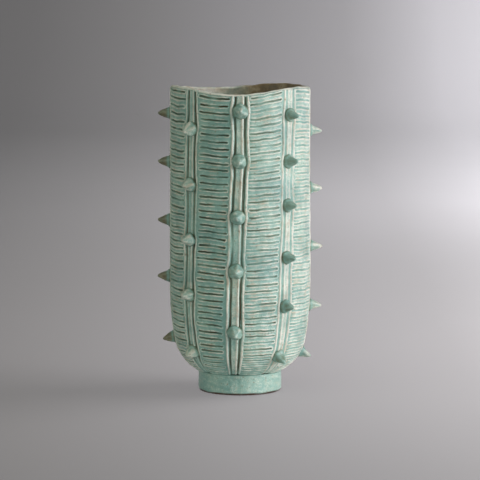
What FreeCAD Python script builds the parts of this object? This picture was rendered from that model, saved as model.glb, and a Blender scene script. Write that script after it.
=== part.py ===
"""Hand-built stoneware vase: a round-shouldered cylinder on a foot ring, with eight applied ribs and their thorns.

The vase stands on z = 0 about the Z axis. Columns are placed by their bearing: 0 degrees faces -Y, the front,
and 90 degrees faces +X. Each piece of clay is its own solid, bedded into the one it is luted to.
"""

import FreeCAD, Part
import math
import os

import Sketcher

DIMENSIONS = {
    # wall outline, from the foot joint up: a tight turn, a long slow curve, then a nearly straight wall
    "foot_joint_radius": 45.8,
    "foot_slope": 29.0,
    "turn_radius": 50.0,
    "belly_curve": 306.0,
    "belly_radius": 76.4,
    "rim_radius": 75.2,
    "total_height": 331.2,
    "wall_thickness": 5.5,
    "lip_fillet": 1.8,
    "rim_stock": 10.0,
    # foot ring and the floor disc that is let into it
    "foot_height": 22.5,
    "foot_radius": 45.2,
    "foot_bore": 34.0,
    "foot_bevel": 3.0,
    "foot_chamfer": 1.5,
    "floor_radius": 38.0,
    "floor_seat": 18.5,
    "floor_thickness": 7.5,
    # ribs: angular widths about the vase's axis, and heights from the wall's surface
    "rib_angle": 13.8,
    "rib_bed": 1.8,
    "rib_rise": 1.0,
    "rib_start": 24.0,
    "rib_below_rim": 2.8,
    "groove_bearing": 3.4,
    "groove_angle": 2.6,
    "groove_depth": 1.5,
    "lean_height": 191.5,
    # thorns
    "thorn_length": 12.6,
    "thorn_root_radius": 7.3,
    "thorn_root_height": 0.3,
    "thorn_neck_radius": 5.3,
    "thorn_neck_height": 2.2,
    "thorn_tip_radius": 1.1,
    "thorn_bed": 2.0,
}

# The rim is hand cut and waves gently: (waves round the rim, height in mm, bearing of a crest in degrees).
RIM_WAVES = [(1, 1.5, 18.0), (2, 2.5, 99.0), (3, 1.6, 44.0), (4, 0.8, 48.0)]

# Columns round the vase: (name, bearing, lean towards higher bearings, height of each thorn in mm).
COLUMNS = [
    ("a", -91.0, 0.0, (303.5, 250.5, 186.5, 125.5, 58.5)),
    ("b", -44.5, 1.0, (291, 230.5, 171.5, 111.5, 49)),
    ("c", -2.0, 1.5, (310.5, 257.5, 197.5, 139.5, 73)),
    ("d", 42.1, 1.8, (305.5, 255.5, 208.5, 152.5, 99.5, 44)),
    ("e", 91.5, 0.0, (284.5, 221.5, 158.5, 93.5, 42)),
    ("f", 135.5, -0.8, (308.5, 251.5, 193.5, 135.5, 67.5)),
    ("g", 180.5, 0.6, (289.5, 227.5, 167.5, 107.5, 48.5)),
    ("h", -136.5, -0.4, (304.5, 253.5, 206.5, 153.5, 102.5, 45.5)),
]

FREE_RADIUS = 12.0  # how far past the wall a cutting profile reaches, mm
RIM_POINTS = 32  # points that carry the rim's wave round the vase
NOTHING = 1e-6


def fill_sheet(doc):
    sheet = doc.addObject("Spreadsheet::Sheet", "Dimensions")
    for row, (alias, value) in enumerate(DIMENSIONS.items(), 1):
        sheet.set(f"A{row}", alias)
        sheet.set(f"B{row}", str(value))
        sheet.setAlias(f"B{row}", alias)
    doc.recompute()
    return sheet


def rim_height(sheet, bearing):
    waves = sum(size * math.cos(count * math.radians(bearing - crest)) for count, size, crest in RIM_WAVES)
    return sheet.total_height + waves


class Outline:
    """The wall's outer profile, and any profile parallel to it: two tangent arcs and a line."""

    def __init__(self, sheet, offset=0.0):
        slope = math.radians(sheet.foot_slope)
        self.turn = sheet.turn_radius + offset
        self.belly = sheet.belly_curve + offset
        self.turn_x = sheet.foot_joint_radius - sheet.turn_radius * math.sin(slope)
        self.turn_z = sheet.foot_height + sheet.turn_radius * math.cos(slope)
        self.belly_x = sheet.belly_radius - sheet.belly_curve
        run = self.turn_x - self.belly_x
        apart = sheet.belly_curve - sheet.turn_radius
        self.belly_z = self.turn_z + math.sqrt(apart**2 - run**2)
        self.meet_angle = -math.asin((self.belly_z - self.turn_z) / apart)
        self.rim_x = sheet.rim_radius + offset
        self.top = sheet.total_height + sheet.rim_stock

    def meeting_point(self):
        """Where the two arcs meet, as (radius, height)."""
        return (
            self.turn_x + self.turn * math.cos(self.meet_angle),
            self.turn_z + self.turn * math.sin(self.meet_angle),
        )

    def point_and_normal(self, height):
        """(radius, outward normal's radial part, its vertical part) at a height on the profile."""
        if height < self.meeting_point()[1]:
            x, z, radius = self.turn_x, self.turn_z, self.turn
        elif height < self.belly_z:
            x, z, radius = self.belly_x, self.belly_z, self.belly
        else:
            share = (height - self.belly_z) / (self.top - self.belly_z)
            bottom = self.belly_x + self.belly
            return bottom + share * (self.rim_x - bottom), 1.0, 0.0
        run = math.sqrt(radius**2 - (height - z) ** 2)
        return x + run, run / radius, (height - z) / radius


def plane_of(body, role="XZ_Plane"):
    return next(f for f in body.Origin.OriginFeatures if f.Role == role)


def new_body(doc, name):
    body = doc.addObject("PartDesign::Body", name)
    body.Label = name
    return body


def new_sketch(body, name, bearing=None):
    """A sketch on the body's XZ plane, turned about the vase's axis by the expression `bearing`, if given."""
    sketch = body.newObject("Sketcher::SketchObject", name)
    sketch.AttachmentSupport = [(plane_of(body), "")]
    sketch.MapMode = "FlatFace"
    if bearing:
        sketch.setExpression(".AttachmentOffset.Rotation.Axis.x", "0")
        sketch.setExpression(".AttachmentOffset.Rotation.Axis.y", "1")
        sketch.setExpression(".AttachmentOffset.Rotation.Axis.z", "0")
        sketch.setExpression(".AttachmentOffset.Rotation.Angle", bearing)
    return sketch


def bind(sketch, kind, *where, size, to):
    """Adds a dimension with its present size, then binds it to an expression."""
    number = sketch.addConstraint(Sketcher.Constraint(kind, *where, size))
    if to is not None:
        sketch.setExpression(f"Constraints[{number}]", to)
    return number


def place_point(sketch, item, end, x, x_to, z, z_to):
    """Dimensions one end of an item from the sketch's origin. A None expression leaves that direction free."""
    if x_to is not None:
        bind(sketch, "DistanceX", -1, 1, item, end, size=x, to=x_to)
    if z_to is not None:
        bind(sketch, "DistanceY", -1, 1, item, end, size=z, to=z_to)


def add_profile(sketch, sheet, offset, offset_to, bottom, bottom_to, top, top_to):
    """Draws the wall's profile, offset outwards, from bottom to top. Returns its first and last item."""
    line = Outline(sheet, offset)
    meet_x, meet_z = line.meeting_point()
    start_angle = math.asin((bottom - line.turn_z) / line.turn)
    turn_centre = FreeCAD.Vector(line.turn_x, line.turn_z, 0)
    belly_centre = FreeCAD.Vector(line.belly_x, line.belly_z, 0)
    up = FreeCAD.Vector(0, 0, 1)
    turn = sketch.addGeometry(
        Part.ArcOfCircle(Part.Circle(turn_centre, up, line.turn), start_angle, line.meet_angle)
    )
    belly = sketch.addGeometry(
        Part.ArcOfCircle(Part.Circle(belly_centre, up, line.belly), line.meet_angle, 0)
    )
    widest = FreeCAD.Vector(line.belly_x + line.belly, line.belly_z, 0)
    wall = sketch.addGeometry(Part.LineSegment(widest, FreeCAD.Vector(line.rim_x, top, 0)))
    sketch.addConstraint(Sketcher.Constraint("Tangent", turn, 2, belly, 1))
    sketch.addConstraint(Sketcher.Constraint("Coincident", belly, 2, wall, 1))
    sketch.addConstraint(Sketcher.Constraint("Horizontal", belly, 3, belly, 2))
    slope = "Dimensions.foot_slope * 1 deg"
    place_point(
        sketch, turn, 3,
        line.turn_x, f"Dimensions.foot_joint_radius - Dimensions.turn_radius * sin({slope})",
        line.turn_z, f"Dimensions.foot_height + Dimensions.turn_radius * cos({slope})",
    )
    bind(sketch, "Radius", turn, size=line.turn, to=f"Dimensions.turn_radius + {offset_to}")
    bind(sketch, "Radius", belly, size=line.belly, to=f"Dimensions.belly_curve + {offset_to}")
    place_point(sketch, belly, 2, widest.x, f"Dimensions.belly_radius + {offset_to}", 0, None)
    place_point(sketch, turn, 1, 0, None, bottom, bottom_to)
    place_point(sketch, wall, 2, line.rim_x, f"Dimensions.rim_radius + {offset_to}", top, top_to)
    return turn, wall


def add_band(sketch, sheet, outside, outside_to, inside, inside_to, bottom, bottom_to, top, top_to):
    """A closed band that follows the wall, between two offsets from its outer profile."""
    outer_first, outer_last = add_profile(sketch, sheet, outside, outside_to, bottom, bottom_to, top, top_to)
    inner_first, inner_last = add_profile(sketch, sheet, inside, inside_to, bottom, bottom_to, top, top_to)
    for first, first_end, last, last_end in ((outer_first, 1, inner_first, 1), (outer_last, 2, inner_last, 2)):
        start = sketch.getPoint(first, first_end)
        end = sketch.getPoint(last, last_end)
        closing = sketch.addGeometry(Part.LineSegment(start, end))
        sketch.addConstraint(Sketcher.Constraint("Coincident", closing, 1, first, first_end))
        sketch.addConstraint(Sketcher.Constraint("Coincident", closing, 2, last, last_end))


def add_polygon(sketch, corners):
    """A closed polygon. Each corner is (x, expression for x, height, expression for height)."""
    items = []
    for here, there in zip(corners, corners[1:] + corners[:1]):
        start = FreeCAD.Vector(here[0], here[2], 0)
        end = FreeCAD.Vector(there[0], there[2], 0)
        items.append(sketch.addGeometry(Part.LineSegment(start, end)))
    for item, after in zip(items, items[1:] + items[:1]):
        sketch.addConstraint(Sketcher.Constraint("Coincident", item, 2, after, 1))
    for item, (x, x_to, z, z_to) in zip(items, corners):
        place_point(sketch, item, 1, x, x_to, z, z_to)


def turn_about_axis(body, kind, name, sketch, angle=None):
    """A Revolution or Groove of the sketch about the Z axis, spread evenly to both sides of its plane."""
    feature = body.newObject(f"PartDesign::{kind}", name)
    feature.Profile = sketch
    feature.ReferenceAxis = (sketch, ["V_Axis"])
    feature.Midplane = True
    feature.Angle = 360.0
    if angle:
        feature.setExpression("Angle", angle)
    sketch.Visibility = False
    return feature


def circular_edge(shape, radius, height):
    """The name of the round edge about the Z axis with this radius and height."""
    for number, edge in enumerate(shape.Edges, 1):
        curve = edge.Curve
        if isinstance(curve, Part.Circle) and abs(curve.Radius - radius) < 0.01:
            if abs(curve.Center.z - height) < 0.01:
                return f"Edge{number}"
    raise ValueError(f"no round edge of radius {radius} at height {height}")


def make_foot_ring(doc, sheet):
    """A thrown ring with a rebate for the floor, a rounded outer heel and a chamfered bore."""
    body = new_body(doc, "foot_ring")
    sketch = new_sketch(body, "foot_ring_profile")
    bore, seat, outer = "Dimensions.foot_bore", "Dimensions.floor_radius", "Dimensions.foot_radius"
    shelf, top = "Dimensions.floor_seat", "Dimensions.foot_height"
    add_polygon(sketch, [
        (sheet.foot_bore, bore, 0.0, "0"),
        (sheet.foot_radius, outer, 0.0, "0"),
        (sheet.foot_radius, outer, sheet.foot_height, top),
        (sheet.floor_radius, seat, sheet.foot_height, top),
        (sheet.floor_radius, seat, sheet.floor_seat, shelf),
        (sheet.foot_bore, bore, sheet.floor_seat, shelf),
    ])
    ring = turn_about_axis(body, "Revolution", "foot_ring_turned", sketch)
    doc.recompute()
    heel = body.newObject("PartDesign::Fillet", "foot_ring_heel")
    heel.Base = (ring, [circular_edge(ring.Shape, sheet.foot_radius, 0.0)])
    heel.setExpression("Radius", "Dimensions.foot_bevel")
    doc.recompute()
    inside = body.newObject("PartDesign::Chamfer", "foot_ring_bore_edge")
    inside.Base = (heel, [circular_edge(heel.Shape, sheet.foot_bore, 0.0)])
    inside.setExpression("Size", "Dimensions.foot_chamfer")
    return body


def make_floor_disc(doc):
    """The floor: a disc let into the foot ring, standing a little way up inside the wall."""
    disc = doc.addObject("Part::Cylinder", "floor_disc")
    disc.setExpression("Radius", "Dimensions.floor_radius")
    disc.setExpression("Height", "Dimensions.floor_thickness")
    disc.setExpression("Placement.Base.z", "Dimensions.floor_seat")
    return disc


def make_rim_cutter(doc, sheet):
    """A ring of free space above the rim, whose underside has the rim's wave."""
    edges = []
    for radius in (sheet.rim_radius + FREE_RADIUS, sheet.rim_radius - sheet.wall_thickness - FREE_RADIUS):
        points = []
        for step in range(RIM_POINTS):
            bearing = 360.0 * step / RIM_POINTS
            angle = math.radians(bearing - 90.0)
            points.append(FreeCAD.Vector(
                radius * math.cos(angle), radius * math.sin(angle), rim_height(sheet, bearing)
            ))
        curve = Part.BSplineCurve()
        curve.interpolate(Points=points, PeriodicFlag=True)
        edges.append(curve.toShape())
    underside = Part.makeRuledSurface(*edges)
    cutter = doc.addObject("Part::Feature", "rim_cutter")
    cutter.Shape = underside.extrude(FreeCAD.Vector(0, 0, 3 * sheet.rim_stock))
    return cutter


def make_wall_stock(doc, sheet):
    """The thrown wall before its rim is cut and its ribs are bedded in."""
    body = new_body(doc, "wall_stock")
    sketch = new_sketch(body, "wall_profile")
    top = sheet.total_height + sheet.rim_stock
    add_band(
        sketch, sheet, 0.0, "0", -sheet.wall_thickness, "(-Dimensions.wall_thickness)",
        sheet.foot_height, "Dimensions.foot_height", top, "Dimensions.total_height + Dimensions.rim_stock",
    )
    turn_about_axis(body, "Revolution", "wall_turned", sketch)
    return body


def rim_edges(sheet, shape):
    """The numbers of the two wavy edges round the rim."""
    lowest = sheet.total_height - sum(size for _, size, _ in RIM_WAVES) - 1.0
    return [number for number, edge in enumerate(shape.Edges, 1)
            if edge.BoundBox.ZMin > lowest and edge.Length > sheet.rim_radius]


def column_placement(sheet, bearing, lean):
    """From a frame whose X axis points out through the column to the vase's frame, leaning about that axis."""
    pivot = FreeCAD.Vector(0, 0, sheet.lean_height)
    tilt = FreeCAD.Placement(FreeCAD.Vector(), FreeCAD.Rotation(FreeCAD.Vector(1, 0, 0), -lean), pivot)
    turn = FreeCAD.Placement(FreeCAD.Vector(), FreeCAD.Rotation(FreeCAD.Vector(0, 0, 1), bearing - 90.0))
    return turn.multiply(tilt)


def make_strip(doc, sheet, label, bearing):
    """A plain clay strip that follows the wall, from below the turn to just under the rim."""
    body = new_body(doc, label)
    sketch = new_sketch(body, f"{label}_profile")
    top = rim_height(sheet, bearing) - sheet.rib_below_rim
    add_band(
        sketch, sheet, sheet.rib_rise, "Dimensions.rib_rise", -sheet.rib_bed, "(-Dimensions.rib_bed)",
        sheet.rib_start, "Dimensions.rib_start", top, str(top),
    )
    turn_about_axis(body, "Revolution", f"{label}_turned", sketch, "Dimensions.rib_angle")
    return body


def carve_grooves(body, sheet):
    """Two grooves down a strip, which leave a spine between two edge strands."""
    top = sheet.total_height + sheet.rim_stock
    for side, sign in (("left", ""), ("right", "-")):
        sketch = new_sketch(body, f"{body.Label}_{side}_profile", f"{sign}Dimensions.groove_bearing")
        add_band(
            sketch, sheet, FREE_RADIUS, str(FREE_RADIUS),
            sheet.rib_rise - sheet.groove_depth, "Dimensions.rib_rise - Dimensions.groove_depth",
            sheet.rib_start, "Dimensions.rib_start", top, "Dimensions.total_height + Dimensions.rim_stock",
        )
        turn_about_axis(body, "Groove", f"{body.Label}_{side}_groove", sketch, "Dimensions.groove_angle")


def make_thorn(doc, sheet, name):
    """A pinched cone on its own axis: a flared root that beds into the rib, a straight flank and a round tip."""
    body = new_body(doc, f"thorn_{name}")
    sketch = new_sketch(body, f"thorn_profile_{name}")
    vector = FreeCAD.Vector
    root, neck, tip = sheet.thorn_root_radius, sheet.thorn_neck_radius, sheet.thorn_tip_radius
    flank_angle = math.atan2(neck - tip, sheet.thorn_length - tip - sheet.thorn_neck_height)
    tip_x = tip * math.cos(flank_angle)
    tip_z = sheet.thorn_length - tip + tip * math.sin(flank_angle)
    root_z, neck_z = sheet.thorn_root_height, sheet.thorn_neck_height
    lines = [
        (vector(0, sheet.thorn_length, 0), vector(0, -sheet.thorn_bed, 0)),
        (vector(0, -sheet.thorn_bed, 0), vector(root, -sheet.thorn_bed, 0)),
        (vector(root, -sheet.thorn_bed, 0), vector(root, root_z, 0)),
        (vector(neck, neck_z, 0), vector(tip_x, tip_z, 0)),
    ]
    axis, base, side, flank = (sketch.addGeometry(Part.LineSegment(*ends)) for ends in lines)
    flare_middle = vector(root - 0.75 * (root - neck), root_z + 0.25 * (neck_z - root_z), 0)
    flare = sketch.addGeometry(Part.Arc(vector(root, root_z, 0), flare_middle, vector(neck, neck_z, 0)))
    tip_circle = Part.Circle(vector(0, sheet.thorn_length - tip, 0), vector(0, 0, 1), tip)
    point = sketch.addGeometry(Part.ArcOfCircle(tip_circle, flank_angle, math.pi / 2))
    flare_root, flare_neck = (1, 2) if sketch.getPoint(flare, 1).y < sketch.getPoint(flare, 2).y else (2, 1)
    joins = [
        ("Coincident", axis, 2, base, 1), ("Coincident", base, 2, side, 1),
        ("Coincident", side, 2, flare, flare_root), ("Tangent", flare, flare_neck, flank, 1),
        ("Tangent", flank, 2, point, 1), ("Coincident", point, 2, axis, 1),
    ]
    for join in joins:
        sketch.addConstraint(Sketcher.Constraint(*join))
    sketch.addConstraint(Sketcher.Constraint("PointOnObject", point, 3, -2))
    sketch.addConstraint(Sketcher.Constraint("Vertical", side))
    sketch.addConstraint(Sketcher.Constraint("Horizontal", base))
    sketch.addConstraint(Sketcher.Constraint("PointOnObject", axis, 1, -2))
    sketch.addConstraint(Sketcher.Constraint("PointOnObject", axis, 2, -2))
    bind(sketch, "DistanceY", -1, 1, axis, 1, size=sheet.thorn_length, to="Dimensions.thorn_length")
    bind(sketch, "DistanceY", base, 2, -1, 1, size=sheet.thorn_bed, to="Dimensions.thorn_bed")
    place_point(sketch, side, 2, root, "Dimensions.thorn_root_radius", root_z, "Dimensions.thorn_root_height")
    bind(sketch, "Radius", point, size=tip, to="Dimensions.thorn_tip_radius")
    place_point(sketch, flank, 1, neck, "Dimensions.thorn_neck_radius", neck_z, "Dimensions.thorn_neck_height")
    turn_about_axis(body, "Revolution", f"thorn_turned_{name}", sketch)
    return body


def thorn_placement(sheet, height):
    """Stands a thorn on the rib's surface in the column's frame, along the surface's normal."""
    radius, out, rise = Outline(sheet, sheet.rib_rise).point_and_normal(height)
    swing = math.degrees(math.atan2(out, rise))
    return FreeCAD.Placement(
        FreeCAD.Vector(radius, 0, height), FreeCAD.Rotation(FreeCAD.Vector(0, 1, 0), swing)
    )


def compound(doc, name, objects):
    group = doc.addObject("Part::Compound", name)
    group.Links = objects
    return group


def cut(doc, name, base, tool):
    result = doc.addObject("Part::Cut", name)
    result.Base, result.Tool, result.Label = base, tool, name
    return result


def make_columns(doc, sheet):
    """Every rib and thorn. Returns the ribs with their thorns' sockets, the thorns, and the ribs' full strips."""
    ribs, thorns, strips = [], [], []
    for name, bearing, lean, heights in COLUMNS:
        column = column_placement(sheet, bearing, lean)
        strip = make_strip(doc, sheet, f"rib_bed_{name}", bearing)
        carved = make_strip(doc, sheet, f"rib_stock_{name}", bearing)
        carve_grooves(carved, sheet)
        strip.Placement = carved.Placement = column
        own = []
        for number, height in enumerate(heights, 1):
            thorn = make_thorn(doc, sheet, f"{name}{number}")
            thorn.Placement = column.multiply(thorn_placement(sheet, height))
            own.append(thorn)
        ribs.append(cut(doc, f"rib_{name}", carved, compound(doc, f"thorns_of_{name}", own)))
        thorns.extend(own)
        strips.append(strip)
    return ribs, thorns, strips


def make_vessel_wall(doc, sheet, bedded):
    """The wall with its rim cut to the wave and softened, and a bed for the floor and each rib."""
    stock = make_wall_stock(doc, sheet)
    trimmed = cut(doc, "wall_trimmed", stock, make_rim_cutter(doc, sheet))
    doc.recompute()
    lip = doc.addObject("Part::Fillet", "wall_lip")
    lip.Base = trimmed
    lip.Edges = [(number, sheet.lip_fillet, sheet.lip_fillet) for number in rim_edges(sheet, trimmed.Shape)]
    return cut(doc, "vessel_wall", lip, compound(doc, "bedded_pieces", bedded))


def check(doc, pieces):
    """Stops if any object failed, or a piece isn't closed solid clay."""
    for item in doc.Objects:
        if {"Invalid", "Error"} & set(item.State):
            raise RuntimeError(f"{item.Label} failed: {item.State}")
    for piece in pieces:
        shape = piece.Shape
        if shape.isNull() or not shape.isValid() or not shape.Solids or shape.Volume < NOTHING:
            raise RuntimeError(f"{piece.Label} has no valid solid")


def main():
    doc = FreeCAD.newDocument("stoneware_vase")
    sheet = fill_sheet(doc)
    foot_ring = make_foot_ring(doc, sheet)
    floor_disc = make_floor_disc(doc)
    ribs, thorns, strips = make_columns(doc, sheet)
    wall = make_vessel_wall(doc, sheet, [*strips, floor_disc])
    doc.recompute()
    pieces = [foot_ring, floor_disc, wall, *ribs, *thorns]
    check(doc, pieces)
    os.makedirs("parts", exist_ok=True)
    for piece in pieces:
        piece.Shape.exportStep(f"parts/{piece.Label}.step")
    print(f"{len(pieces)} pieces, {sum(len(p.Shape.Solids) for p in pieces)} solids")
    for piece in (foot_ring, floor_disc, wall, ribs[0], thorns[0]):
        print(f"{piece.Label}: {piece.Shape.Volume / 1000:.2f} cm3")


main()
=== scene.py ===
"""The looks of a hand-built stoneware vase: combed celadon wall, grooved ribs, pinched thorns, foot ring.

Surfaces are worked out in millimetres and built in metres. A bearing is an angle round the vase in degrees:
0 faces the front, -Y, and 90 faces +X. `s` is the distance up the wall's profile from the foot joint.
"""

import math

import bpy
import numpy as np
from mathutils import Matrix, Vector


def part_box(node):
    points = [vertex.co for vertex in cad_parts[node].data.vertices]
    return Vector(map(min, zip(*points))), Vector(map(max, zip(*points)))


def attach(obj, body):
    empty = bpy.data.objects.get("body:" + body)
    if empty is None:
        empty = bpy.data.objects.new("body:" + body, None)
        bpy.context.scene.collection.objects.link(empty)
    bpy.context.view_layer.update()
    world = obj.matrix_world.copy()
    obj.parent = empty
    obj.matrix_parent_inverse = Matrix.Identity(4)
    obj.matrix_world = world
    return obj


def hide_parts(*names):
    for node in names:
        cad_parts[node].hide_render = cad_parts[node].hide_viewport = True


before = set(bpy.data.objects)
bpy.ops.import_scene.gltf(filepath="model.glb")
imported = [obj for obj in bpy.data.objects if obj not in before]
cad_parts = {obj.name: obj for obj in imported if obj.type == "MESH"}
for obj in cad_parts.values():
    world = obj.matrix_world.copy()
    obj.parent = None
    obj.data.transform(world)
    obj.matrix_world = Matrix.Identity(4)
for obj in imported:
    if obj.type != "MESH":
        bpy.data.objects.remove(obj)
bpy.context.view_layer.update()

MM = 0.001
SEED = 7


def corners(node):
    """A CAD node's lowest and highest corners, in mm."""
    return [np.array(corner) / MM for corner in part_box(node)]


# ---------------------------------------------------------------- the vase's form, as in the CAD model, in mm
FOOT_RADIUS, _, FOOT_TOP = corners("foot_ring")[1]
FLOOR_RADIUS, _, FLOOR_TOP = corners("floor_disc")[1]
FLOOR_UNDER = corners("floor_disc")[0][2]
BELLY_RADIUS = corners("vessel_wall")[1][0]
JOINT_RADIUS = 45.8
FOOT_BORE = 34.0
FOOT_HEEL = 3.0  # how far the ring's outer bottom edge is rounded
RIM_RADIUS = 75.2
RIM_HEIGHT = 331.2
FOOT_SLOPE = 29.0  # degrees over level at which the wall leaves the foot joint
TURN_RADIUS = 50.0  # the shoulder's arc, between the foot joint and the belly
BELLY_CURVE = 306.0  # the belly's arc
WALL_THICKNESS = 5.5
RIM_STOCK = 10.0  # how far the profile runs on over the mean rim
RIM_WAVES = [(1, 1.5, 18.0), (2, 2.5, 99.0), (3, 1.6, 44.0), (4, 0.8, 48.0)]  # (waves, size, crest's bearing)
THORN_HEIGHT = 12.6
THORN_BED = 2.0

# ---------------------------------------------------------------- hand work on it, in mm
LINES = 43  # combed lines up each panel
PITCH_AT_FOOT, PITCH_AT_RIM = 0.9, 1.05  # how the lines open out up the wall
PITCH_SPREAD = 0.07  # how far a single pitch is off, as a share
FIRST_LINE = 4.2  # height along the profile of the lowest line
LAST_LINE = 5.0  # below the rim
RIM_FOLLOWING = 55.0  # how far down the wall the lines still echo the rim's wave
LINE_JITTER, LINE_TILT = 0.45, 0.8  # how far a whole line is off its place, and how far it tilts
LINE_WOBBLE, FINE_WOBBLE = 0.36, 0.16
LINE_END_JITTER = 0.6
PRESSURE_WAVER, BURR_WAVER = 0.4, 0.5  # how unevenly a line was pressed and its burr thrown up, as shares
GROOVE_HALF = 0.95
GROOVE_DEPTH = 1.4
BURR_CREST = 1.7  # from the line's centre
BURR_HALF = 0.8
BURR_HEIGHT = 0.55
UNDER_BURR, UPPER_BURR = 1.25, 0.85  # the burr is fuller under a line than over it

# Rows of the wall's grid beside each line, as distances from its centre where the lines are ROW_ROOM apart.
ROW_ROOM = 7.4
LINE_ROWS = (-2.7, -2.2, -1.7, -1.25, -0.9, -0.45, 0.0, 0.45, 0.9, 1.25, 1.7, 2.2, 2.7)

# From each rib's centre to where the lines end, on its left and on its right.
LINE_MARGINS = {
    "a": (11.0, 11.6), "b": (11.7, 12.2), "c": (12.7, 10.7), "d": (12.3, 10.5),
    "e": (11.8, 11.2), "f": (10.6, 12.0), "g": (12.2, 10.9), "h": (11.3, 12.1),
}

HIGHER_STARTS = {"a": 1.3}  # how much higher the lines start at the right of this rib
EARLIER_ENDS = {"c": 2.4}  # how much sooner the lines end at the left of this rib, in its lower half

# Bends of the lines across each panel, named after the rib at its left: how far they rise at the left, in the
# middle and at the right, first at the rim and then at the foot.
PANEL_BENDS = {
    "a": ((1.4, -0.9, -0.4), (0.9, -0.9, -0.2)),
    "b": ((0.0, -0.2, 0.2), (2.6, 0.2, -2.8)),
    "c": ((-1.5, -0.2, 1.8), (-0.4, 0.3, 0.1)),
    "d": ((1.4, 0.2, -1.4), (0.4, 0.3, -0.4)),
    "e": ((-0.6, 0.8, 0.4), (-0.5, 0.7, 0.2)),
    "f": ((0.8, 0.1, -0.6), (0.9, -0.4, -0.7)),
    "g": ((-0.7, 0.5, 0.9), (0.3, 0.6, -0.9)),
    "h": ((0.6, -0.6, 0.5), (-0.8, 0.3, 0.9)),
}

# How far each panel's lines stand above the lines of the panels beside it.
PANEL_STEPS = {"a": 1.6, "b": -0.9, "c": 1.9, "d": -1.8, "e": 0.7, "f": 2.2, "g": -2.0, "h": -0.6}

# How hard the comb was pressed in each panel.
PANEL_PRESSURE = {"a": 1.0, "b": 1.05, "c": 0.7, "d": 0.34, "e": 0.75, "f": 0.9, "g": 1.0, "h": 0.95}

# Painted light and shade on a panel and on the rib at its left, as a shift of the glaze's relief: paler above
# 0 and darker under it, as the light falls on each side of the vase.
PANEL_PAINTED_LIGHT = {"a": 0.08, "b": -0.12, "c": 0.04, "d": 0.15, "e": 0.12}

# Across a rib, from its centre: (distance, height over the wall). The list is mirrored for the other side.
RIB_SECTION = [
    (0.0, 0.1), (0.8, 0.12), (1.6, 0.35), (2.3, 0.6), (2.9, 0.55), (3.4, 0.1), (4.0, -0.7), (4.7, -1.3),
    (5.4, -1.2), (6.1, -0.5), (6.7, 0.15), (7.3, 0.65), (8.0, 0.9), (8.7, 0.65), (9.3, 0.1), (9.8, -0.6),
]
RIB_EDGE = 9.5  # from a rib's centre to where its edge turns down
RIB_BED = -1.9  # height of a rib's back, over the wall
RIB_STEP = 1.4  # between a rib's rows
RIB_OVERRUN = 1.3  # how far a rib's soft top runs on under the lip

# How deep each rib's grooves were pressed, how much wider it is on each side, how far the strokes pressed the
# left crest of its spine and its right strand, and how much of its edge's turn is left.
RIB_DEPTHS = {"a": 0.95, "b": 1.15, "c": 1.1, "d": 0.3, "e": 0.6, "f": 0.8, "g": 0.9, "h": 0.8}
RIB_WIDENING = {"b": 0.3, "c": 1.0, "d": 0.3}
RIB_LEANING = {"b": 0.7, "c": 1.0, "d": 0.3}
RIB_EDGES = {"d": 0.4}

# Up a thorn from the rib's surface: (height, radius).
THORN_SECTION = [
    (-1.9, 7.3), (-0.9, 7.5), (-0.1, 7.3), (0.5, 6.8), (1.1, 6.4), (1.9, 6.05), (3.0, 5.65), (4.5, 5.1),
    (6.0, 4.5), (7.5, 3.85), (9.0, 3.15), (10.3, 2.45), (11.3, 1.85), (12.0, 1.3), (12.45, 0.7),
]
THORN_SIDES = 36

# The hand's habits, column by column: how far the thorns are squeezed from above and below, how full their
# sides are, how thick and how long they are as shares, their painted light and shade (paler above 0, where
# the key lights a column, and darker under it, in shade), and how brown they are.
THORN_SQUEEZE = {"b": 0.72, "d": 0.88, "e": 0.9}
THORN_FULLNESS = {"b": 0.45, "c": 0.15, "d": 0.05}
THORN_GIRTH = {"b": 1.05, "c": 1.12}
THORN_LENGTH = {"b": 0.86}
THORN_PAINTED_LIGHT = {"a": -0.8, "b": 0.2, "c": -0.05, "d": -0.45, "e": 0.3}
BROWN_ON_THORNS = {"a": 0.6}
DROOPING = {"thorn_b1": 2.8}  # how far this thorn's tip hangs
TIP_SCATTER = 0.45  # how far a tip is off line
FLATS_DEPTH, PINCH_DEPTH, LUMPS = 0.11, 0.10, 0.06  # shares of a thorn's radius


# ---------------------------------------------------------------- seeded unevenness
def ripple(seed, *where, size=1.0, waves=5):
    """A smooth uneven value, mostly from -1 to 1, at arrays of coordinates, with bumps about `size` big."""
    dice = np.random.default_rng(SEED + seed)
    total = 0.0
    for _ in range(waves):
        direction = dice.normal(size=len(where))
        direction *= dice.uniform(0.6, 1.5) * math.pi / size / np.linalg.norm(direction)
        phase = dice.uniform(0, 2 * math.pi)
        total = total + np.sin(sum(d * w for d, w in zip(direction, where)) + phase)
    return total / math.sqrt(waves)


def smooth_step(value, low, high):
    """From 0 at low to 1 at high, level at both ends."""
    share = np.clip((value - low) / (high - low), 0.0, 1.0)
    return share * share * (3.0 - 2.0 * share)


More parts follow.
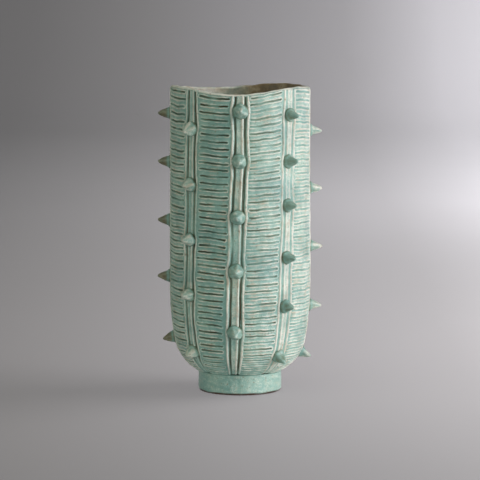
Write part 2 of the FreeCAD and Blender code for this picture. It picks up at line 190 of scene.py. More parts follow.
# ---------------------------------------------------------------- the wall's profile
def profile_table():
    """Fine points up the wall's outer profile: s, radius, height, and the outward normal's two parts."""
    slope = math.radians(FOOT_SLOPE)
    turn_x = JOINT_RADIUS - TURN_RADIUS * math.sin(slope)
    turn_z = FOOT_TOP + TURN_RADIUS * math.cos(slope)
    belly_x = BELLY_RADIUS - BELLY_CURVE
    apart = BELLY_CURVE - TURN_RADIUS
    belly_z = turn_z + math.sqrt(apart**2 - (turn_x - belly_x) ** 2)
    meet = -math.asin((belly_z - turn_z) / apart)
    turn = np.linspace(slope - math.pi / 2, meet, 200)
    belly = np.linspace(meet, 0.0, 200)[1:]
    share = np.linspace(0.0, 1.0, 100)[1:]
    top = RIM_HEIGHT + RIM_STOCK
    radius = np.concatenate([
        turn_x + TURN_RADIUS * np.cos(turn), belly_x + BELLY_CURVE * np.cos(belly),
        BELLY_RADIUS + share * (RIM_RADIUS - BELLY_RADIUS),
    ])
    height = np.concatenate([
        turn_z + TURN_RADIUS * np.sin(turn), belly_z + BELLY_CURVE * np.sin(belly),
        belly_z + share * (top - belly_z),
    ])
    out = np.concatenate([np.cos(turn), np.cos(belly), np.ones_like(share)])
    rise = np.concatenate([np.sin(turn), np.sin(belly), np.zeros_like(share)])
    steps = np.hypot(np.diff(radius), np.diff(height))
    return np.concatenate([[0.0], np.cumsum(steps)]), radius, height, out, rise


PROFILE_S, PROFILE_RADIUS, PROFILE_HEIGHT, PROFILE_OUT, PROFILE_RISE = profile_table()


def s_at_height(height):
    return np.interp(height, PROFILE_HEIGHT, PROFILE_S)


def height_at(s):
    return np.interp(s, PROFILE_S, PROFILE_HEIGHT)


def radius_at(s):
    return np.interp(s, PROFILE_S, PROFILE_RADIUS)


def rim_wave(bearing):
    """How far the rim rises over its mean height."""
    return sum(size * np.cos(count * np.radians(bearing - crest)) for count, size, crest in RIM_WAVES)


def wall_point(s, bearing, offset):
    """Points off the wall's profile by `offset` along its normal, as an array of x, y, z in mm."""
    radius, height = radius_at(s), height_at(s)
    radius = radius + offset * np.interp(s, PROFILE_S, PROFILE_OUT)
    height = height + offset * np.interp(s, PROFILE_S, PROFILE_RISE)
    return ring_points(bearing, radius, height)


def ring_points(bearing, radius, height):
    """Points round the vase's axis, as an array of x, y, z in mm."""
    angle = np.radians(bearing - 90.0)
    height = height + np.zeros_like(bearing)
    return np.stack([radius * np.cos(angle), radius * np.sin(angle), height], axis=-1)


def round_wall(bearing, height, radius):
    """Distances round a wall of this radius and up it, from which a surface's unevenness is worked out."""
    return np.radians(bearing) * radius, height + 0.0 * bearing


# ---------------------------------------------------------------- reading the frame
def cad_points(node):
    """All the points of a CAD node's mesh, in mm."""
    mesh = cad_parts[node].data
    points = np.empty(len(mesh.vertices) * 3)
    mesh.vertices.foreach_get("co", points)
    return points.reshape(-1, 3) / MM


def bearing_of(point):
    return math.degrees(math.atan2(point[1], point[0])) + 90.0


class Thorn:
    """A thorn's place in the CAD model: the middle of its root on the rib's surface, and its axis."""

    def __init__(self, node):
        self.node = node
        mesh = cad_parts[node].data
        points = cad_points(node)
        mesh.calc_loop_triangles()
        triangles = np.array([triangle.vertices for triangle in mesh.loop_triangles])
        first, second, third = (points[triangles[:, corner]] for corner in range(3))
        volumes = np.einsum("ij,ij->i", first, np.cross(second, third))
        middle = ((first + second + third) / 4 * volumes[:, None]).sum(0) / volumes.sum()
        tip = points[np.argmax(np.linalg.norm(points - middle, axis=1))]
        self.axis = (tip - middle) / np.linalg.norm(tip - middle)
        self.root = tip - THORN_HEIGHT * self.axis
        self.bearing = bearing_of(self.root)


class Rib:
    """A rib's centre line, read from the roots of the thorns that stand on it."""

    def __init__(self, letter):
        self.letter = letter
        self.node = f"rib_{letter}"
        nodes = sorted(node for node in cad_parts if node.startswith(f"thorn_{letter}"))
        self.thorns = [Thorn(node) for node in nodes]
        low, high = corners(self.node)
        self.bottom, self.top = low[2], high[2]
        heights = np.array([thorn.root[2] for thorn in self.thorns])
        bearings = np.array([thorn.bearing for thorn in self.thorns])
        radii = np.array([np.linalg.norm(thorn.root[:2]) for thorn in self.thorns])
        self.middle = float(np.median(bearings))
        drift = np.radians((bearings - self.middle + 180.0) % 360.0 - 180.0)
        self.lean, self.shift = np.polyfit(heights, radii * np.sin(drift), 1)
        self.seed = 100 * (1 + "abcdefgh".index(letter))

    def bearing(self, height, radius):
        """The centre line's bearing, with the slight wander of a strip laid on by hand."""
        aside = self.lean * height + self.shift
        aside = aside + 0.35 * ripple(self.seed, np.asarray(height, float), size=60.0)
        return self.middle + np.degrees(np.arcsin(aside / radius))

    def swelling(self, height):
        """From 0 to 1, how close a height is to one of the rib's thorns."""
        reach = 9.0
        return sum(np.exp(-(((height - thorn.root[2]) / reach) ** 2)) for thorn in self.thorns)


def read_ribs():
    """The ribs in order round the vase, from the last one before the front."""
    found = [Rib(node[-1]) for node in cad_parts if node.startswith("rib_")]
    found.sort(key=lambda rib: rib.middle % 360)
    return found[-1:] + found[:-1]


ribs = read_ribs()


# ---------------------------------------------------------------- mesh helpers
vase_pieces = bpy.data.collections.new("vase_pieces")
backdrop = bpy.data.collections.new("backdrop")


def make_mesh(name, points, faces, attributes, material, nodes):
    """A smooth-shaded piece that stands for these CAD nodes. An attribute holds one number for each point."""
    mesh = bpy.data.meshes.new(name)
    mesh.from_pydata((points * MM).tolist(), [], faces)
    for label, values in attributes.items():
        layer = mesh.attributes.new(label, "FLOAT", "POINT")
        layer.data.foreach_set("value", np.ascontiguousarray(values, np.float32))
    mesh.polygons.foreach_set("use_smooth", [True] * len(mesh.polygons))
    mesh.materials.append(material)
    mesh.validate()
    piece = bpy.data.objects.new(name, mesh)
    bpy.context.scene.collection.objects.link(piece)
    vase_pieces.objects.link(piece)
    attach(piece, "root")
    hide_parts(*nodes)
    return piece


def surface_marks(relief, inside, bare, count):
    """What the glaze reads at each point: the clay's relief in mm, and shares of inside and of bare clay.

    Each is a list of rings, or 0 for the whole of a piece with `count` points.
    """
    marks = {"relief": relief, "inside": inside, "bare": bare}
    return {name: np.concatenate(rings) if isinstance(rings, list) else np.zeros(count)
            for name, rings in marks.items()}


def tube_faces(rows, columns, closed_rows=False):
    """Quads of a grid whose columns run round and meet. With closed_rows, its rows meet as well."""
    faces = []
    for row in range(rows if closed_rows else rows - 1):
        after = (row + 1) % rows
        for column in range(columns):
            beside = (column + 1) % columns
            faces.append((row * columns + column, row * columns + beside,
                          after * columns + beside, after * columns + column))
    return faces


# ---------------------------------------------------------------- the combed wall
def line_profile(distance, depth, burr):
    """Height of the clay at a distance from a line's centre: a groove, and a burr thrown up beside it."""
    groove = np.where(distance < GROOVE_HALF, 1.0 - (distance / GROOVE_HALF) ** 2, 0.0)
    swell = np.clip(1.0 - ((distance - BURR_CREST) / BURR_HALF) ** 2, 0.0, None)
    return burr * swell**1.2 - depth * groove


def panel_bend(letter, share, height):
    """How far the lines of a panel rise at a share of the way across it, at a height."""
    at_rim, at_foot = PANEL_BENDS[letter]
    upward = np.clip(height / RIM_HEIGHT, 0.0, 1.0)
    bend = 0.0
    for weight, (left, middle, right) in ((upward, at_rim), (1.0 - upward, at_foot)):
        bow = middle - (left + right) / 2
        bend = bend + weight * (left + (right - left) * share + 4.0 * bow * share * (1.0 - share))
    return bend * (0.35 + 0.65 * smooth_step(height, 35.0, 85.0))


def panel_columns():
    """Columns of a panel as (share of the way to the next rib, distance from the nearer rib)."""
    edge = (0.0, 5.0, 8.7, 9.5, 10.3, 11.1, 11.9, 12.7, 13.6, 14.8, 16.6, 19.0)
    middle = 7
    columns = [(0.0, distance) for distance in edge]
    columns += [((step + 1) / (middle + 1), edge[-1]) for step in range(middle)]
    columns += [(1.0, distance) for distance in edge[:0:-1]]
    return columns


def line_pitches(dice):
    """The lines' heights up the profile: even on the whole, each a little off."""
    even = np.linspace(PITCH_AT_FOOT, PITCH_AT_RIM, LINES)
    return np.cumsum(even * dice.uniform(1.0 - PITCH_SPREAD, 1.0 + PITCH_SPREAD, LINES))


class Panel:
    """The wall from the centre of one rib to the centre of the next, as a grid of combed lines by columns."""

    def __init__(self, rib, after, base, rim_s):
        self.rib, self.after, self.rim_s = rib, after, rim_s
        self.dice = np.random.default_rng(SEED + rib.seed)
        self.share, self.away = (np.array(part)[None, :] for part in zip(*panel_columns()))
        self.base = base[:, None] * np.ones_like(self.share)
        self.height, self.radius = height_at(self.base), radius_at(self.base)
        self.span = (after.middle - rib.middle) % 360.0
        self.left = rib.bearing(self.height, self.radius)
        self.right = after.bearing(self.height, self.radius) - after.middle + rib.middle + self.span
        widening = [RIB_WIDENING.get(edge.letter, 0.0) for edge in (rib, after)]
        wider = np.where(self.share < 0.5, *widening)
        degrees = np.degrees(self.away * (1.0 + wider / RIB_EDGE) / BELLY_RADIUS)
        self.bearing = (1 - self.share) * (self.left + degrees) + self.share * (self.right - degrees)
        self.across = (self.bearing - self.left) / (self.right - self.left)
        self.number = np.arange(LINES, dtype=float)[:, None]

    def each_line(self, draw, *limits):
        """One random number for each line."""
        return draw(*limits, (LINES, 1))

    def line_paths(self):
        """How far up the profile the lines run: an echo of the rim near it, and even behind the ribs."""
        letter, across, seed = self.rib.letter, self.across, self.rib.seed
        echo = rim_wave(self.bearing) * np.exp((self.base - self.rim_s) / RIM_FOLLOWING)
        jitter = self.each_line(self.dice.normal, 0.0, LINE_JITTER)
        jitter = jitter + self.each_line(self.dice.normal, 0.0, LINE_TILT) * (across - 0.5)
        wobble = LINE_WOBBLE * ripple(seed + 1, self.number * 3.1, across * 40.0, size=9.0)
        wobble = wobble + FINE_WOBBLE * ripple(seed + 4, self.number * 7.0, across * 60.0, size=5.0)
        hook = HIGHER_STARTS.get(letter, 0.0) * smooth_step(across, 0.26, 0.1)
        step = PANEL_STEPS[letter] * (0.35 + 0.65 * smooth_step(self.rim_s - self.base, 4.0, 16.0))
        clear_of_ribs = smooth_step(np.minimum(across, 1.0 - across) * self.span, 2.0, 8.0)
        clear_of_joint = smooth_step(self.base, 0.0, 14.0)
        bend = panel_bend(letter, across, self.height)
        return self.base + echo + clear_of_ribs * clear_of_joint * (bend + step + hook + jitter + wobble)

    def beyond_ends(self):
        """How far past the end of its line each point is, and 0 along the line. The ends clear the thorns."""
        start = LINE_MARGINS[self.rib.letter][1] + self.each_line(self.dice.normal, 0.0, LINE_END_JITTER)
        start = start + self.rib.swelling(self.height)
        end = LINE_MARGINS[self.after.letter][0] + self.each_line(self.dice.normal, 0.0, LINE_END_JITTER)
        end = end + self.after.swelling(self.height)
        end = end + EARLIER_ENDS.get(self.after.letter, 0.0) * (1.0 - smooth_step(self.height, 90.0, 170.0))
        from_left = np.radians(self.bearing - self.left) * BELLY_RADIUS
        from_right = np.radians(self.right - self.bearing) * BELLY_RADIUS
        past = np.maximum(np.maximum(start - from_left, end - from_right), 0.0)
        return past * (self.radius / BELLY_RADIUS)

    def depths_and_burrs(self):
        """How deep each line is and how high its burr, along its length."""
        place, seed = (self.number * 7, self.across * 60), self.rib.seed
        pressure = self.each_line(self.dice.uniform, 0.65, 1.1)
        pressure = pressure + PRESSURE_WAVER * ripple(seed + 2, *place, size=14.0)
        thrown = self.each_line(self.dice.uniform, 0.7, 1.2)
        thrown = thrown + BURR_WAVER * ripple(seed + 3, *place, size=7.0)
        depth = GROOVE_DEPTH * PANEL_PRESSURE[self.rib.letter] * np.clip(pressure, 0.3, 1.25)
        return depth, BURR_HEIGHT * np.clip(thrown, 0.25, 1.5)

    def rows(self):
        """The rows up the panel, a few for each line, as s and the clay's relief."""
        line_s = self.line_paths()
        beyond = self.beyond_ends()
        depth, burr = self.depths_and_burrs()
        strength = smooth_step(line_s, 1.0, 16.0) * 0.45 + 0.55
        below = np.concatenate([line_s[:1] - (line_s[1:2] - line_s[:1]), line_s[:-1]])
        above = np.concatenate([line_s[1:], line_s[-1:] + (line_s[-1:] - line_s[-2:-1])])
        s, relief = [], []
        for line, here in enumerate(line_s):
            s.append((here + below[line]) / 2)
            relief.append(np.zeros_like(here))
            for offset in LINE_ROWS:
                room = (above[line] - here) if offset > 0 else (here - below[line])
                s.append(here + offset * np.clip(room / ROW_ROOM, 0.6, 1.2))
                distance = np.hypot(offset, beyond[line])
                fullness = UNDER_BURR if offset < 0 else UPPER_BURR
                relief.append(strength[line] * line_profile(distance, depth[line], burr[line] * fullness))
        return np.array(s), np.array(relief)

    def grid(self):
        """The panel from the foot joint to the lip: s, bearing, relief, distance from a rib, painted light and
        shade.
        """
        s, relief = self.rows()
        joint = np.zeros((1, s.shape[1]))
        lip_s = self.rim_s + rim_wave(self.bearing[-1:])
        s = np.concatenate([joint, s[:1] * 0.5, s[1:], (s[-1:] + lip_s) / 2 - 0.4])
        relief = np.concatenate([joint, joint, relief[1:], joint])
        nearest_line = np.interp(np.arange(len(s)), [1, len(s) - 2], [0, LINES - 1])
        nearest_line = np.clip(np.round(nearest_line).astype(int), 0, LINES - 1)
        in_the_open = (self.share > 0) & (self.share < 1)
        near_rib = np.minimum(self.away + 100.0 * in_the_open, 100.0) * np.ones_like(s)
        # painted light and shade for the whole panel
        thin = np.full_like(s, PANEL_PAINTED_LIGHT.get(self.rib.letter, 0.0))
        return s, self.bearing[nearest_line], relief, near_rib, thin


def combed_grid():
    """All the panels side by side. The grid's rows follow the lines."""
    rim_s = float(s_at_height(RIM_HEIGHT))
    pitches = line_pitches(np.random.default_rng(SEED))
    stretch = (rim_s - LAST_LINE - FIRST_LINE) / (pitches[-1] - pitches[0])
    base = FIRST_LINE + (pitches - pitches[0]) * stretch
    panels = [Panel(rib, after, base, rim_s).grid() for rib, after in zip(ribs, ribs[1:] + ribs[:1])]
    return tuple(np.concatenate(part, axis=1) for part in zip(*panels))


# Round the lip from its outer edge to its inner edge: (angle, relief, share of inside, least share of it at
# the back right, where the lip is painted dark as shade).
LIP_SECTION = [
    (6.0, 0.25, 0.0, 0.0), (30.0, 0.4, 0.0, 0.1), (58.0, 0.5, 0.0, 0.5), (90.0, 0.55, 0.0, 0.9),
    (122.0, 0.5, 0.1, 1.0), (150.0, 0.35, 0.35, 1.0), (174.0, 0.2, 0.7, 1.0),
]
LIP_ROUND = 2.4  # from the outer edge up to the lip's top
LIP_PAINTED_SHADE, LIP_PAINTED_LIGHT = 138.0, -70.0  # bearings where the lip is painted dark as shade, and where it is painted pale as light
INSIDE_PAINTED_LIGHT = -125.0  # bearing where the inside under the lip is painted pale, as light, in place of the brown wash
THROWING_DEPTH = 0.22


def towards(bearing, centre, low, high):
    """From 0 to 1, how nearly a bearing faces this way: the cosine between the two, from low to high."""
    return smooth_step(np.cos(np.radians(bearing - centre)), low, high)


def lip_rings(around):
    """The wavy lip: its points, relief and shares of inside, ring by ring."""
    top = RIM_HEIGHT + rim_wave(around) + 0.25 * ripple(12, np.radians(around) * RIM_RADIUS, size=14.0)
    half = WALL_THICKNESS / 2 * (1 + 0.07 * ripple(13, np.radians(around) * RIM_RADIUS, size=40.0))
    # pale is painted light on the lip at the left; thin is painted shade, a brown lip at the back right
    pale = 0.3 * towards(around, LIP_PAINTED_LIGHT, 0.2, 0.8)
    thin = towards(around, LIP_PAINTED_SHADE, 0.62, 0.9)
    rings, relief, inside = [], [], []
    for angle, thickness, share, least in LIP_SECTION:
        turn = math.radians(angle)
        inward = half * (1.0 - math.cos(turn)) - 0.25
        radius = radius_at(s_at_height(top)) - inward
        rings.append(ring_points(around, radius, top - LIP_ROUND * (1.0 - math.sin(turn))))
        relief.append(thickness + pale * (30.0 <= angle <= 150.0))
        inside.append(np.maximum(share, thin * least))
    return rings, relief, inside


def inner_rings(around):
    """The inside from the lip down to the floor, with faint throwing rings."""
    rings, s_inner = [], s_at_height(RIM_HEIGHT)
    for share in np.linspace(0.0, 1.0, 36)[1:] ** 0.9:
        level = s_inner * (1.0 - share)
        sink = rim_wave(around) * (1.0 - share) ** 2 - 5.0 * (1.0 - share)
        throwing = THROWING_DEPTH * math.sin(level * 0.75)
        throwing = throwing + 0.3 * ripple(14, *round_wall(around, level, 60), size=50.0)
        rings.append(wall_point(level + sink, around, -WALL_THICKNESS + throwing))
    return [ring for ring in rings if np.linalg.norm(ring[:, :2], axis=1).min() > FLOOR_RADIUS + 0.5]


def make_wall(material):
    """The whole wall as one closed mesh: up the outside, over the lip, and down the inside to the floor."""
    s, bearing, relief, near_rib, painted_panel_light = combed_grid()
    uneven = 0.28 * ripple(11, np.radians(bearing) * BELLY_RADIUS, height_at(s), size=55.0)
    margin = smooth_step(near_rib, 9.6, 13.5)
    below_lip = (np.arange(len(s)) < len(s) - 1)[:, None]
    bedded = (near_rib < 8.0) & below_lip
    outside = wall_point(s, bearing, np.where(bedded, RIB_BED, relief + 0.6 * uneven))
    # the glaze's relief, with the panel's painted light and shade added
    pooling_and_painted_light = relief - 0.15 * (1.0 - margin) + painted_panel_light

    around = bearing[-1]
    plain = np.zeros(len(around))
    lip, lip_relief, lip_inside = lip_rings(around)
    inner = inner_rings(around)
    bottom = [ring_points(around, FLOOR_RADIUS + plain, height) for height in (FLOOR_TOP - 1.2, FOOT_TOP)]
    # celadon paints the inside pale near the lip at the back left, as painted light; elsewhere the brown wash
    celadon = towards(around, INSIDE_PAINTED_LIGHT, 0.3, 0.95)
    liner = [1.0 - celadon * math.exp(-ring / 3.0) for ring in range(len(inner))]

    rings = [*outside, *lip, *inner, *bottom]
    shade = [*pooling_and_painted_light, *lip_relief, *[plain] * len(inner + bottom)]
    lined = [*[plain] * len(outside), *lip_inside, *liner, *[plain + 1.0] * len(bottom)]
    points = np.concatenate(rings)
    marks = surface_marks(shade, lined, 0, len(points))
    faces = tube_faces(len(rings), len(around), closed_rows=True)
    return make_mesh("wall_combed", points, faces, marks, material, ["vessel_wall"])


# ---------------------------------------------------------------- ribs
def rib_lift(rib, across, rise, height, ends):
    """How high a rib's surface stands over the wall, with strokes that were pressed unevenly by hand."""
    side = np.where(across < 0.0, -0.7, 0.35)
    crest = np.where((np.abs(across) > 1.0) & (np.abs(across) < 3.2), side, 0.0)
    strand = np.where(across > 7.0, -0.45, 0.0)
    pressed = 1.0 + RIB_LEANING.get(rib.letter, 0.4) * (crest + strand)
    strokes = np.where(rise < 0.0, RIB_DEPTHS[rib.letter], pressed)
    waver = 1 + 0.2 * ripple(rib.seed + 22, height, across, size=14.0)
    waver = waver + 0.3 * ripple(rib.seed + 23, height, 12.0 * np.round(across / 5.0), size=60.0)
    worked = rise * strokes * waver * (0.45 + 0.55 * ends)
    edge = rise * RIB_EDGES.get(rib.letter, 1.0)
    return np.maximum(np.where(np.abs(across) > RIB_EDGE, edge, worked), RIB_BED + 0.15)


def make_rib(rib, material):
    """A strip along the wall, with grooves that part round its thorns. Its back lies in the wall's bed."""
    section = [(-x, h) for x, h in RIB_SECTION[:0:-1]] + RIB_SECTION
    across, rise = (np.array(part)[None, :] for part in zip(*section))
    low, high = float(s_at_height(rib.bottom)), float(s_at_height(rib.top)) + RIB_OVERRUN
    s = np.linspace(low, high, int((high - low) / RIB_STEP))[:, None]
    height, radius = height_at(s), radius_at(s)
    side = np.sign(across)
    wander = 0.45 * ripple(rib.seed + 20, height, 9.0 * side, size=22.0)
    wander = wander + 0.2 * ripple(rib.seed + 21, height, 9.0 * side, size=8.0)
    parting = 1.2 * rib.swelling(height) - 0.5 + RIB_WIDENING.get(rib.letter, 0.0) + wander
    aside = across + side * np.minimum(np.abs(across) / 8.1, 1.0) * parting
    ends = smooth_step(s, low - 2.0, low + 22.0) * smooth_step(high - s, -0.8, 1.4)
    lift = rib_lift(rib, across, rise, height, ends)
    centre = rib.bearing(height, radius)
    front = wall_point(s, centre + np.degrees(aside / BELLY_RADIUS), lift)
    in_bed = np.full_like(lift, RIB_BED)
    back = wall_point(s, centre + np.degrees(np.clip(aside, -9.0, 9.0) / BELLY_RADIUS), in_bed)
    points = np.concatenate([front, back[:, ::-1]], axis=1).reshape(-1, 3)

    rows, columns = lift.shape
    width = 2 * columns
    faces = tube_faces(rows, width)
    for row in (0, rows - 1):
        loop = [row * width + column for column in range(width)]
        for column in range(columns - 1):
            quad = (loop[column], loop[column + 1], loop[width - 2 - column], loop[width - 1 - column])
            faces.append(quad if row else quad[::-1])
    # the rib's own painted light and shade, shared with the panel named after it
    shade = np.concatenate([lift + PANEL_PAINTED_LIGHT.get(rib.letter, 0.0), in_bed], axis=1)
    marks = surface_marks(list(shade), 0, 0, len(points))
    return make_mesh(f"rib_{rib.letter}_grooved", points, faces, marks, material, [rib.node])


# ---------------------------------------------------------------- thorns
def make_thorn(thorn, seed, material):
    """A cone pinched between fingers: soft flats round it, a flared root and a tip a little off line."""
    dice = np.random.default_rng(SEED + seed)
    out = thorn.axis
    side = np.cross(np.array([0.0, 0.0, 1.0]), out)
    side /= np.linalg.norm(side)
    up = np.cross(out, side)
    turn = np.linspace(0.0, 2 * math.pi, THORN_SIDES, endpoint=False)
    flats = int(dice.integers(3, 6))
    phase = dice.uniform(0, 2 * math.pi)
    pinch_phase = dice.uniform(-0.6, 0.6)
    tip_aside = dice.normal(0.0, TIP_SCATTER)
    tip_up = dice.normal(-0.1, 0.5) - DROOPING.get(thorn.node, 0.0)
    column = thorn.node[6]
    squeeze = 1.0 if thorn.node in DROOPING else THORN_SQUEEZE.get(column, 1.0)
    fullness, girth = THORN_FULLNESS.get(column, 0.0), THORN_GIRTH.get(column, 1.0)
    # tone is the column's painted light and shade
    length, tone = THORN_LENGTH.get(column, 1.0), THORN_PAINTED_LIGHT.get(column, 0.0)
    brown = BROWN_ON_THORNS.get(column, 0.12)
    rings, shade, brownness = [], [], []
    for height, radius in THORN_SECTION:
        share = max(height, 0.0) / THORN_HEIGHT
        radius = radius * girth * (1 + fullness * math.sin(math.pi * share))
        grip = math.sin(math.pi * min(share * 1.15, 1.0))
        place = (8 * np.cos(turn), 8 * np.sin(turn), turn * 0 + height)
        facets = np.cos(flats * turn + phase)
        shape = 1 + FLATS_DEPTH * grip * facets + PINCH_DEPTH * grip * np.cos(2 * (turn - pinch_phase))
        shape = shape + LUMPS * ripple(seed + 3, *place, size=5.0)
        x = radius * shape * np.cos(turn) + tip_aside * share**1.5
        z = radius * shape * np.sin(turn) * (1 - (1 - squeeze) * min(share * 4.0, 1.0)) + tip_up * share**1.5
        sag = (radius * np.cos(turn)) ** 2 / (2 * BELLY_RADIUS) * math.exp(-max(height, 0.0) / 1.5)
        along = height * (length if height > 0.0 else 1.0) - sag
        rings.append(thorn.root + x[:, None] * side + z[:, None] * up + along[:, None] * out)
        ridges = 0.14 * grip * (facets - 0.3) + 0.16 * ripple(seed + 7, *place, size=4.0)
        # darker round the root: glaze pooled in the crease, with painted shade where the thorn meets the rib
        crease = -0.8 * (1 - smooth_step(height, 0.0, 1.6))
        shade.append(crease + tone * smooth_step(share, 0.05, 0.3) + ridges + 0.2 * share**3)
        brownness.append(np.full(THORN_SIDES, brown * smooth_step(share, 0.05, 0.4)))
    tip = thorn.root + tip_aside * side + tip_up * up + THORN_HEIGHT * length * out
    base = thorn.root - THORN_BED * out
    points = np.concatenate([*rings, tip[None, :], base[None, :]])
    faces = tube_faces(len(rings), THORN_SIDES)
    last = (len(rings) - 1) * THORN_SIDES
    tip_at, base_at = len(points) - 2, len(points) - 1
    for here in range(THORN_SIDES):
        beside = (here + 1) % THORN_SIDES
        faces.append((last + here, last + beside, tip_at))
        faces.append((beside, here, base_at))
    marks = surface_marks([*shade, [tone + 0.2], [-1.0]], [*brownness, [brown], [0.0]], 0, len(points))
    return make_mesh(f"{thorn.node}_pinched", points, faces, marks, material, [thorn.node])


# ---------------------------------------------------------------- foot ring and floor
RING_GRAIN = 44.0  # radius at which the ring's unevenness is worked out
GLAZE_LINE = 2.3  # height over which the foot ring is glazed


def make_foot_ring(material):
    """A turned ring with a softened heel, faint turning marks and a bare underside."""
    bearing = np.linspace(0.0, 360.0, 180, endpoint=False)
    section = [(FLOOR_RADIUS, FLOOR_UNDER), (FLOOR_RADIUS, FOOT_TOP - 0.6), (FLOOR_RADIUS + 0.6, FOOT_TOP)]
    section += [(FOOT_RADIUS - 1.0, FOOT_TOP), (FOOT_RADIUS - 0.2, FOOT_TOP - 0.35)]
    section += [(FOOT_RADIUS, height) for height in np.linspace(FOOT_TOP - 1.2, FOOT_HEEL, 14)]
    section += [(FOOT_RADIUS - FOOT_HEEL * (1 - math.cos(turn)), FOOT_HEEL * (1 - math.sin(turn)))
                for turn in np.radians((18.0, 36.0, 54.0, 72.0, 90.0))]
    section += [(FOOT_BORE + 1.5, 0.0), (FOOT_BORE + 0.4, 0.5), (FOOT_BORE, 1.5), (FOOT_BORE, FLOOR_UNDER)]
    glazed_down_to = GLAZE_LINE + 0.35 * ripple(32, np.radians(bearing) * RING_GRAIN, size=15.0)
    rings, shade, bare = [], [], []
    for radius, height in section:
        turned = radius > FOOT_RADIUS - 0.5 and height > FOOT_HEEL
        marks = 0.2 * ripple(31, *round_wall(bearing, height, RING_GRAIN), size=18.0)
        marks = 0.12 * math.sin(height * 2.3) + marks
        rings.append(ring_points(bearing, radius + (marks if turned else 0.0), height))
        crease = 0.4 * (height > FOOT_TOP - 0.5)
        streaks = 0.07 * ripple(33, *round_wall(bearing, 6 * height, RING_GRAIN), size=13.0)
        shade.append(0.04 + streaks - crease)
        outer = radius > FOOT_BORE + 2.0
        bare.append(smooth_step(glazed_down_to - height, -0.5, 0.5) if outer else np.ones(len(bearing)))
    points = np.concatenate(rings)
    marks = surface_marks(shade, 0, bare, len(points))
    faces = [face[::-1] for face in tube_faces(len(rings), len(bearing), closed_rows=True)]
    return make_mesh("foot_ring_turned", points, faces, marks, material, ["foot_ring"])


def make_floor(material):
    """The floor: a shallow dish with a thrower's spiral on top, plain and bare beneath."""
    bearing = np.linspace(0.0, 360.0, 120, endpoint=False)
    count = len(bearing)
    middle = 0.4
    rings, inside, bare = [], [], []
    for radius in (*np.linspace(middle, FLOOR_RADIUS - 1.0, 30), FLOOR_RADIUS - 0.3):
        spiral = 0.22 * np.sin(radius * 1.1 - np.radians(bearing)) * min(radius / 6.0, 1.0)
        edge = 0.5 * smooth_step(radius, FLOOR_RADIUS - 5.0, FLOOR_RADIUS)
        rings.append(ring_points(bearing, radius, FLOOR_TOP - 0.25 + spiral - edge))
        inside.append(np.ones(count))
        bare.append(np.zeros(count))
    edge_and_under = [(FLOOR_RADIUS, FLOOR_TOP - 1.2)]
    edge_and_under += [(radius, FLOOR_UNDER) for radius in (FLOOR_RADIUS, FLOOR_RADIUS * 0.6, middle)]
    for radius, height in edge_and_under:
        rings.append(ring_points(bearing, radius, height))
        inside.append(np.zeros(count))
        bare.append(np.ones(count))
    points = np.concatenate(rings)
    faces = tube_faces(len(rings), count)
    faces.append(tuple(range(count))[::-1])
    faces.append(tuple((len(rings) - 1) * count + column for column in range(count)))
    faces = [face[::-1] for face in faces]
    marks = surface_marks(0, inside, bare, len(points))
    return make_mesh("floor_thrown", points, faces, marks, material, ["floor_disc"])


